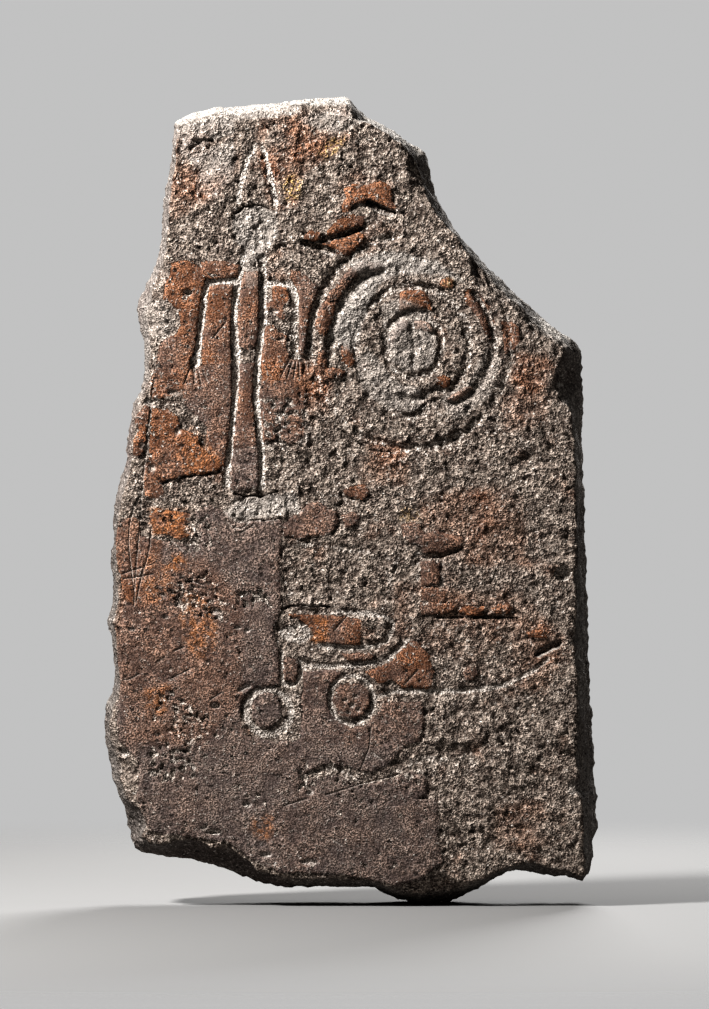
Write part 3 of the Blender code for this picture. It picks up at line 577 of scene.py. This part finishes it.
def weathering(material):
    """The geometry node tree that turns the smooth slab into weathered stone, with its inputs."""
    sizes = {
        "Skin height": SKIN_HEIGHT, "Grain height": GRAIN_HEIGHT, "Lump height": LUMP_HEIGHT,
        "Skin grain height": SKIN_GRAIN_HEIGHT, "Pit depth": PIT_DEPTH, "Cut depth": CUT_DEPTH,
        "Rift depth": RIFT_DEPTH, "Split height": SPLIT_HEIGHT, "Swell height": SWELL_HEIGHT,
        "Knob height": KNOB_HEIGHT, "Seed": SEED,
    }
    guides = {
        "Skin": flat_areas("guide_skin", SKIN),
        "Flaked": even_areas("guide_flaked", FLAKED),
        "Swells": flat_areas("guide_swells", SWELLS),
        "Pecked": flat_areas("guide_pecked", PECKED),
        "Red ground": flat_areas("guide_red_ground", RED_GROUND),
        "Rust": flat_areas("guide_rust", RUST),
        "Lichen": flat_areas("guide_lichen", LICHEN),
        "Pits": even_areas("guide_pits", [round_pit(*pit) for pit in PITS]),
        "Cuts": flat_lines("guide_cuts", CUTS),
        "Rifts": flat_lines("guide_rifts", RIFTS),
    }
    tree = bpy.data.node_groups.new("Weathered stone", "GeometryNodeTree")
    tree.interface.new_socket("Geometry", in_out="INPUT", socket_type="NodeSocketGeometry")
    for name in sizes:
        tree.interface.new_socket(name, in_out="INPUT", socket_type="NodeSocketFloat")
    for name in guides:
        tree.interface.new_socket(name, in_out="INPUT", socket_type="NodeSocketObject")
    tree.interface.new_socket("Stone", in_out="INPUT", socket_type="NodeSocketMaterial")
    tree.interface.new_socket("Geometry", in_out="OUTPUT", socket_type="NodeSocketGeometry")

    net = Net(tree)
    given = tree.nodes.new("NodeGroupInput").outputs
    position = net.add("GeometryNodeInputPosition", {}).outputs[0]
    normal = net.add("GeometryNodeInputNormal", {}).outputs[0]
    softened = net.add("GeometryNodeBlurAttribute",
                       {"Value": position, "Iterations": SOFTEN_STEPS},
                       data_type="FLOAT_VECTOR").outputs[0]
    stone = net.add("GeometryNodeSetPosition",
                    {"Geometry": given["Geometry"], "Position": softened}).outputs[0]

    shift = net.vector("SCALE", SEED_SHIFT, scale=given["Seed"])
    place = net.vector("ADD", position, shift)
    parts = net.parts(position)
    facing = net.parts(normal)
    flat = net.add("ShaderNodeCombineXYZ",
                   {"X": parts["X"], "Y": 0.0, "Z": parts["Z"]}).outputs[0]

    # The carved face, and how far each place lies behind the mean of its surroundings
    front = net.times(net.step(facing["Y"], *FACE_TURN), net.step(parts["Y"], *FACE_PLANE))
    side = net.minus(1.0, front)
    mean_y = net.add("GeometryNodeBlurAttribute", {"Value": parts["Y"], "Iterations": MEAN_STEPS},
                     data_type="FLOAT").outputs[0]
    hollow = net.minus(parts["Y"], mean_y)
    groove = net.times(net.step(hollow, *GROOVE_HOLLOW), front)
    deep = net.times(net.step(hollow, *DEEP_HOLLOW), front)
    from_shield = net.length(net.vector("SUBTRACT", flat, on_sheet(SHIELD_MIDDLE)))
    off_shield = net.step(from_shield, SHIELD_REACH * UNIT, SHIELD_REACH * UNIT + SHIELD_FADE)

    # Sample places that wander, so that every drawn edge is ragged
    wander = net.noise(place, RAGGED_SIZE, detail=5.0, roughness=0.72, colour=True)
    wander = net.vector("SUBTRACT", wander, (0.5, 0.5, 0.5))
    wander = net.vector("MULTIPLY", wander, (RAGGED_REACH, 0.0, RAGGED_REACH))
    ragged = net.vector("ADD", flat, wander)
    wavy = net.vector("ADD", flat, net.vector("SCALE", wander, scale=WAVY_SHARE))
    soft = net.vector("ADD", flat, net.vector("SCALE", wander, scale=SOFT_SHARE))

    def shape_of(name):
        """The mesh of a guide."""
        return net.add("GeometryNodeObjectInfo", {"Object": given[name]}).outputs["Geometry"]

    def away(name, kind, sample):
        """The distance from a guide's faces or edges."""
        sockets = {"Target": shape_of(name), "Source Position": sample}
        node = net.add("GeometryNodeProximity", sockets, target_element=kind)
        return node.outputs["Distance"]

    def strength(name, sample):
        """The strength of a guide's nearest area."""
        value = net.add("GeometryNodeInputNamedAttribute", {"Name": "strength"},
                        data_type="FLOAT").outputs["Attribute"]
        sockets = {"Mesh": shape_of(name), "Value": value, "Sample Position": sample}
        node = net.add("GeometryNodeSampleNearestSurface", sockets, data_type="FLOAT")
        return node.outputs["Value"]

    def stain(name):
        """A guide's areas with soft edges, at their own strengths."""
        share = net.step(away(name, "FACES", soft), STAIN_REACH[name], 0.0)
        return net.times(net.times(share, strength(name, soft)), front)

    # Old skin: whole inside its outlines, gone in the grooves and where it has flaked away
    flaking = net.noise(place, FLAKE_SIZE, detail=3.0, roughness=0.65)
    flaked = net.step(away("Flaked", "FACES", ragged), FLAKE_REACH, 0.0, *FLAKE_SHARES)
    flaked = net.step(net.minus(flaking, flaked), 0.0, -0.05)
    from_skin = net.plus(away("Skin", "FACES", ragged), net.times(flaked, FLAKE_LOSS))
    from_skin = net.plus(from_skin, net.times(deep, GROOVE_LOSS))
    from_skin = net.plus(from_skin, net.times(side, SIDE_LOSS))
    skin = net.step(from_skin, SKIN_EDGE, 0.0)
    bare = net.minus(1.0, skin)

    # Grain, lumps, split texture and knobs, each about zero
    grain = net.minus(net.noise(place, GRAIN_SIZE, detail=3.0, roughness=0.65), 0.5)
    pebbles = net.cells(place, PEBBLE_SIZE)["Distance"]
    grain = net.minus(grain, net.times(pebbles, PEBBLE_SHARE))
    lumps = net.minus(net.noise(place, LUMP_SIZE), 0.5)
    split = net.minus(net.noise(place, SPLIT_SIZE, detail=4.0, roughness=0.55), 0.5)
    knobs = net.noise(place, KNOB_SIZE, detail=2.5, roughness=0.55)
    knobs = net.minus(net.step(knobs, *KNOB_RISE), net.step(knobs, *KNOB_FALL))
    uneven = net.step(net.noise(place, UNEVEN_SIZE, detail=1.0), 0.40, 0.58, 0.35, 1.0)
    knobs = net.times(net.times(knobs, uneven), bare)
    knobs = net.times(knobs, net.minus(1.0, groove))

    # The grooves are filled towards a worn, rounded depth
    depth = net.math("MAXIMUM", hollow, 0.0)
    worn = net.step(off_shield, 0.0, 1.0, SHIELD_GROOVE_DEPTH, GROOVE_DEPTH)
    kept = net.math("EXPONENT", net.math("DIVIDE", depth, net.times(worn, -1.0)))
    kept = net.times(net.minus(1.0, kept), worn)
    filled = net.times(net.minus(depth, kept), front)

    # Heights along the surface's own direction
    swell = net.step(away("Swells", "FACES", ragged), *SWELL_EDGE)
    swell = net.times(net.times(swell, strength("Swells", ragged)), front)
    height = net.times_plus(skin, given["Skin height"], filled)
    height = net.times_plus(net.times(grain, bare), given["Grain height"], height)
    height = net.times_plus(net.times(grain, skin), given["Skin grain height"], height)
    height = net.times_plus(net.times(lumps, bare), given["Lump height"], height)
    height = net.times_plus(net.times(knobs, front), given["Knob height"], height)
    height = net.times_plus(net.times(split, side), given["Split height"], height)
    height = net.times_plus(swell, given["Swell height"], height)

    # Pits, cuts and rifts are sunk into it
    pit = net.times(net.step(away("Pits", "FACES", ragged), PIT_EDGE, 0.0), front)
    height = net.minus(height, net.times(pit, given["Pit depth"]))
    cut = net.times(net.step(away("Cuts", "EDGES", wavy), CUT_WIDTH / 2, 0.0), front)
    height = net.minus(height, net.times(cut, given["Cut depth"]))
    torn = net.times_plus(net.noise(place, RIFT_TEAR_SIZE), RIFT_TEAR,
                          away("Rifts", "EDGES", ragged))
    rift = net.times(net.step(torn, RIFT_WIDTH, RIFT_CORE), front)
    height = net.minus(height, net.times(rift, given["Rift depth"]))

    # The grooves show fresh pale stone, less in pecked areas and on the shield, and none in or
    # beside the rifts, which are painted as shadow
    pale = net.times(net.step(hollow, *PALE_HOLLOW), net.step(torn, *RIFT_SHADE))
    pale = net.times(pale, front)
    pale = net.times(pale, net.step(away("Pecked", "FACES", flat), 0.0, PECKED_EDGE, 0.25, 1.0))
    pale = net.times(pale, net.step(off_shield, 0.0, 1.0, 0.3, 1.0))

    # Marks that the material and the thinning read
    marks = {
        "from_skin": from_skin,
        "redness": strength("Skin", ragged),
        "red_ground": stain("Red ground"),
        "pecked": stain("Pecked"),
        "rust": stain("Rust"),
        "lichen": stain("Lichen"),
        "pale_groove": pale,
        "cut": net.math("MAXIMUM", cut, pit),
        # Painted shadow: the rifts, darkened in the material
        "dark": rift,
        "flaked": net.times(flaked, front),
        "side": side,
        "front": front,
        # Painted light: sides are marked paler where they face up, and a little where they face
        # right
        "pale_side": net.math("MAXIMUM", net.step(facing["Z"], 0.25, 0.80),
                              net.step(facing["X"], 0.80, 0.96, 0.0, 0.35)),
        "back": net.step(facing["Y"], 0.40, 0.90),
        "low": net.step(parts["Z"], LOW_FROM, LOW_WHOLE),
    }
    for name, value in marks.items():
        stone = net.add("GeometryNodeStoreNamedAttribute",
                        {"Geometry": stone, "Name": name, "Value": value},
                        data_type="FLOAT", domain="POINT").outputs[0]

    offset = net.vector("SCALE", normal, scale=height)
    stone = net.add("GeometryNodeSetPosition", {"Geometry": stone, "Offset": offset}).outputs[0]
    stone = net.add("GeometryNodeSetShadeSmooth", {"Geometry": stone}).outputs[0]
    stone = net.add("GeometryNodeRealizeInstances", {"Geometry": stone}).outputs[0]
    stone = net.add("GeometryNodeSetMaterial",
                    {"Geometry": stone, "Material": given["Stone"]}).outputs[0]
    tree.links.new(stone, tree.nodes.new("NodeGroupOutput").inputs["Geometry"])
    return tree, {**sizes, **guides, "Stone": material}


def weathered(stone, material):
    """The finished mesh: remeshed finely, weathered by the node tree, then thinned."""
    tree, values = weathering(material)
    fine = stone.modifiers.new("fine", "REMESH")
    fine.mode = "VOXEL"
    fine.voxel_size = VOXEL
    stone.data = applied(stone)
    split_near_lines(stone.data)
    worn = stone.modifiers.new("worn", "NODES")
    worn.node_group = tree
    for item in tree.interface.items_tree:
        if item.in_out == "INPUT" and item.name in values:
            worn[item.identifier] = values[item.name]
    stone.data = applied(stone)
    for value in values.values():
        if isinstance(value, bpy.types.Object):
            bpy.data.objects.remove(value, do_unlink=True)
    thin_out(stone, "side", SIDE_TRIANGLES)
    thin_out(stone, "front", FRONT_TRIANGLES)


def thin_out(stone, part, target):
    """Thins one part of the mesh, marked by its attribute, to about a number of triangles."""
    marks = [0.0] * len(stone.data.vertices)
    stone.data.attributes[part].data.foreach_get("value", marks)
    chosen = {index for index, value in enumerate(marks) if value > 0.5}
    inside = whole = 0
    for face in stone.data.polygons:
        triangles = len(face.vertices) - 2
        whole += triangles
        inside += triangles if face.vertices[0] in chosen else 0
    stone.vertex_groups.new(name=part).add(sorted(chosen), 1.0, "REPLACE")
    thin = stone.modifiers.new("thin", "DECIMATE")
    thin.ratio = min(1.0, (whole - inside + target) / whole)
    thin.vertex_group = part
    stone.data = applied(stone)
    stone.vertex_groups.clear()
    print(part, inside, "triangles of", whole, "thinned to", target)


def split_near_lines(data):
    """Finer faces beside the thin cut lines, so that these stay sharp."""
    starts = [on_sheet(point) for line in CUTS for point in line[:-1]]
    ends = [on_sheet(point) for line in CUTS for point in line[1:]]
    for _ in range(LINE_SPLITS):
        places = numpy.empty(len(data.vertices) * 3)
        data.vertices.foreach_get("co", places)
        places = places.reshape(-1, 3)
        near = numpy.full(len(places), 1.0)
        for start, end in zip(starts, ends):
            run = numpy.array(end - start)
            off = places - numpy.array(start)
            share = numpy.clip((off * run).sum(axis=1) / (run @ run), 0.0, 1.0)
            gap = off - share[:, None] * run
            near = numpy.minimum(near, numpy.hypot(gap[:, 0], gap[:, 2]))
        near[places[:, 1] > LINE_BACK] = 1.0
        mesh = bmesh.new()
        mesh.from_mesh(data)
        edges = [edge for edge in mesh.edges
                 if max(near[edge.verts[0].index], near[edge.verts[1].index]) < LINE_REACH]
        bmesh.ops.subdivide_edges(mesh, edges=edges, cuts=1, use_grid_fill=True)
        mesh.to_mesh(data)
        mesh.free()


def applied(shape):
    """The mesh that an object's modifiers give, with the modifiers taken off."""
    graph = bpy.context.evaluated_depsgraph_get()
    mesh = bpy.data.meshes.new_from_object(shape.evaluated_get(graph),
                                           preserve_all_data_layers=True, depsgraph=graph)
    shape.modifiers.clear()
    return mesh


def stone_material():
    """Weathered stone: red-brown old skin, granular grey bare stone, stains and pale cuts."""
    material = bpy.data.materials.new("weathered_stone")
    material.use_nodes = True
    tree = material.node_tree
    shader = tree.nodes["Principled BSDF"]
    net = Net(tree)
    place = net.add("ShaderNodeTexCoord", {}).outputs["Object"]

    def mark(name):
        """A mark that the weathering stored."""
        return net.add("ShaderNodeAttribute", {}, attribute_name=name).outputs["Fac"]

    tips = net.noise(place, TIPS_SIZE, detail=1.0)
    grain = net.noise(place, FINE_SIZE, detail=1.5, roughness=0.6)
    coarse = net.noise(place, COARSE_SIZE, detail=3.0, roughness=0.65)
    patch = net.noise(place, PATCH_SIZE)
    cloud = net.noise(place, CLOUD_SIZE, detail=3.0)
    broad = net.noise(place, BROAD_SIZE)

    # The skin's edge, sharpened beyond the mesh by fine noise
    fray = net.times(net.minus(grain, 0.5), FRAY_REACH)
    skin = net.step(net.plus(mark("from_skin"), fray), 0.0014, 0.0006)

    def on_skin(elsewhere, there):
        """A value for the bare stone that turns into another on the skin."""
        return net.step(skin, 0.0, 1.0, elsewhere, there)

    # Bare stone, grey or reddish, and the old skin, brown or red
    tone = net.step(coarse, 0.38, 0.62)
    ground_red = net.times(mark("red_ground"), net.step(cloud, 0.30, 0.62))
    ground_red = net.plus(ground_red, net.step(cloud, 0.58, 0.75, 0.0, 0.45))
    bare = net.blend(ground_red, net.blend(tone, *GREY_STONE), net.blend(tone, *WARM_STONE))
    wash = net.step(net.times_plus(patch, 0.6, net.times(coarse, 0.4)), 0.38, 0.62)
    redness = net.times(mark("redness"), net.step(cloud, 0.3, 0.7, 0.5, 1.2))
    redness = net.plus(redness, net.times(mark("red_ground"), 0.3))
    old = net.blend(redness, net.blend(wash, *BROWN_SKIN), net.blend(wash, *RED_SKIN))
    colour = net.blend(skin, bare, old)
    rust = net.times(mark("rust"), net.step(coarse, 0.40, 0.60))
    colour = net.blend(rust, colour, RUST_STAIN)
    lichen = net.times(mark("lichen"), net.step(grain, 0.45, 0.60))
    colour = net.blend(lichen, colour, LICHEN_STAIN)

    # Split sides, painted lighter where they face up or to the right, as if lit by the lamps
    # there, and the split back
    side = net.blend(net.step(broad, 0.35, 0.65), *SIDE_STONE)
    pale = net.times(mark("pale_side"), net.step(cloud, 0.25, 0.50, 0.6, 1.0))
    side = net.blend(pale, side, PAINTED_LIT_SIDE)
    side = net.vector("SCALE", side, scale=net.step(mark("low"), 0.0, 1.0, 1.0, 0.72))
    back = net.blend(net.step(cloud, 0.30, 0.70), *BACK_STONE)
    back = net.blend(net.step(broad, 0.50, 0.66, 0.0, 0.7), back, BACK_STAIN)
    side = net.blend(mark("back"), side, back)
    colour = net.blend(mark("side"), colour, side)

    # Pecked and flaked areas, and painted shadow in the rifts
    colour = net.blend(net.times(mark("pecked"), 0.70), colour, PECKED_STONE)
    flaked = net.times(mark("flaked"), net.step(grain, 0.35, 0.65, 0.1, 0.8))
    colour = net.blend(flaked, colour, FLAKED_STONE)
    colour = net.blend(net.times(mark("dark"), 0.70), colour, RIFT_SHADOW)

    # Grain by grain: painted highlights on the pale raised tips and painted shade in the dark
    # hollows, following the bump below, weaker on the old skin, uneven everywhere
    fine = net.times_plus(net.minus(grain, tips), on_skin(0.40, 0.15), tips)
    fine = net.step(fine, 0.38, 0.62, -1.0, 1.0)
    amount = net.times(on_skin(0.80, 0.70), net.step(patch, 0.35, 0.65, 0.70, 1.20))
    smooth = net.math("MAXIMUM", mark("side"), mark("pecked"))
    amount = net.times(amount, net.step(smooth, 0.0, 1.0, 1.0, 0.6))
    shade = net.math("EXPONENT", net.times(fine, amount))
    colour = net.vector("SCALE", colour, scale=shade)

    # Fresh stone in the grooves and cuts
    fresh = net.blend(net.step(tips, 0.38, 0.62), *FRESH_STONE)
    groove = net.times_plus(net.minus(grain, 0.5), 2.2, mark("pale_groove"))
    groove = net.times(net.step(groove, 0.10, 0.70), net.step(mark("low"), 0.0, 1.0, 0.85, 0.55))
    colour = net.blend(groove, colour, fresh)
    colour = net.blend(net.times(mark("cut"), 0.5), colour, fresh)

    # Small pale chips, and dark specks painted as the shadow in small pits, each in its own cell
    stray = net.noise(place, STRAY_SIZE, colour=True)
    strayed = net.vector("ADD", place, net.vector("SCALE", stray, scale=STRAY_REACH))
    strayed = net.vector("MULTIPLY", strayed, (0.72, 1.0, 1.25))

    def spots(size, share):
        """Spots of one kind: cells of a size, of which a share holds one."""
        cells = net.cells(strayed, size)
        chance = net.parts(cells["Color"])
        near = net.times_plus(chance["Y"], -SPOT_REACH, cells["Distance"])
        return net.times(net.step(near, 0.10, 0.04), net.math("LESS_THAN", chance["X"], share))

    chip = spots(CHIP_SIZE, CHIP_SHARE)
    speck = spots(SPECK_SIZE, SPECK_SHARE)
    colour = net.blend(net.times(chip, 0.75), colour, fresh)
    colour = net.blend(net.times(speck, 0.85), colour, SPECK_SHADOW)
    tree.links.new(colour, shader.inputs["Base Color"])
    tree.links.new(on_skin(0.92, 0.68), shader.inputs["Roughness"])
    shader.inputs["Specular IOR Level"].default_value = GLOSS

    relief = net.times(tips, on_skin(1.0, 0.55))
    relief = net.times_plus(grain, on_skin(1.5, 0.35), relief)
    relief = net.times(relief, amount)
    relief = net.times_plus(coarse, on_skin(2.0, 0.35), relief)
    relief = net.times_plus(chip, -0.30, relief)
    relief = net.times_plus(speck, -0.60, relief)
    bump = net.add("ShaderNodeBump",
                   {"Strength": 1.0, "Distance": BUMP_DISTANCE, "Height": relief})
    tree.links.new(bump.outputs["Normal"], shader.inputs["Normal"])
    return material


def build_stone():
    """The one piece: it rides with the slab and stands for its node."""
    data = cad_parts["stele"].data.copy()
    mesh = bmesh.new()
    mesh.from_mesh(data)
    bmesh.ops.remove_doubles(mesh, verts=mesh.verts[:], dist=0.00001)
    mesh.to_mesh(data)
    mesh.free()
    data.materials.clear()
    stone = bpy.data.objects.new("weathered_stele", data)
    bpy.context.scene.collection.objects.link(stone)
    weathered(stone, stone_material())
    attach(stone, "root")
    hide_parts("stele")


def studio():
    """A plain pale floor, three soft lamps and a weak pale surround."""
    bpy.ops.mesh.primitive_circle_add(vertices=FLOOR_CORNERS, radius=FLOOR_RADIUS,
                                      fill_type="NGON", location=(0.0, 0.0, LOW.z))
    floor = bpy.context.object
    floor.name = "floor"
    pale = bpy.data.materials.new("pale_floor")
    pale.use_nodes = True
    shader = pale.node_tree.nodes["Principled BSDF"]
    shader.inputs["Base Color"].default_value = FLOOR_COLOUR
    shader.inputs["Roughness"].default_value = FLOOR_ROUGHNESS
    net = Net(pale.node_tree)
    place = net.vector("MULTIPLY", net.add("ShaderNodeTexCoord", {}).outputs["Object"],
                       (1.0, 1.0, 0.0))
    fade = net.step(net.length(place), FLOOR_RADIUS, FLOOR_WHOLE)
    pale.node_tree.links.new(fade, shader.inputs["Alpha"])
    floor.data.materials.append(pale)

    # The key rakes the face; the other two only reach the sides, the top and the back
    for name, direction, power, size in (("key", KEY_DIRECTION, KEY_POWER, KEY_SIZE),
                                         ("rim", RIM_DIRECTION, RIM_POWER, RIM_SIZE),
                                         ("back", BACK_DIRECTION, BACK_POWER, BACK_SIZE)):
        light = bpy.data.lights.new(name, "AREA")
        light.shape = "DISK"
        light.size = size
        light.energy = power
        lamp = bpy.data.objects.new(name, light)
        lamp.location = Vector((0.0, 0.0, (LOW.z + HIGH.z) / 2)) + LAMP_DISTANCE * direction
        lamp.rotation_mode = "QUATERNION"
        lamp.rotation_quaternion = direction.to_track_quat("Z", "Y")
        bpy.context.scene.collection.objects.link(lamp)

    # The surround lights weakly, and shows as an even grey
    world = bpy.data.worlds.new("surround")
    world.use_nodes = True
    net = Net(world.node_tree)
    seen = net.add("ShaderNodeLightPath", {}).outputs["Is Camera Ray"]
    glow = net.step(seen, 0.0, 1.0, SURROUND_LIGHT, SURROUND_SEEN)
    sky = world.node_tree.nodes["Background"].inputs
    sky["Color"].default_value = SURROUND_COLOUR
    world.node_tree.links.new(glow, sky["Strength"])
    bpy.context.scene.world = world
    bpy.context.scene.view_settings.view_transform = "Standard"
    bpy.context.scene.view_settings.look = LOOK


def camera():
    """The camera square to the face, at the picture's height, with a very long lens."""
    data = bpy.data.cameras.new("camera")
    data.lens = LENS
    data.sensor_width = SENSOR
    eye = bpy.data.objects.new("camera", data)
    distance = PICTURE_HEIGHT * UNIT * LENS / SENSOR
    eye.location = on_sheet(PICTURE_MIDDLE) + Vector((0.0, LOW.y - distance, 0.0))
    eye.rotation_euler = (math.radians(90.0), 0.0, 0.0)
    bpy.context.scene.collection.objects.link(eye)
    bpy.context.scene.camera = eye


camera()
studio()
build_stone()
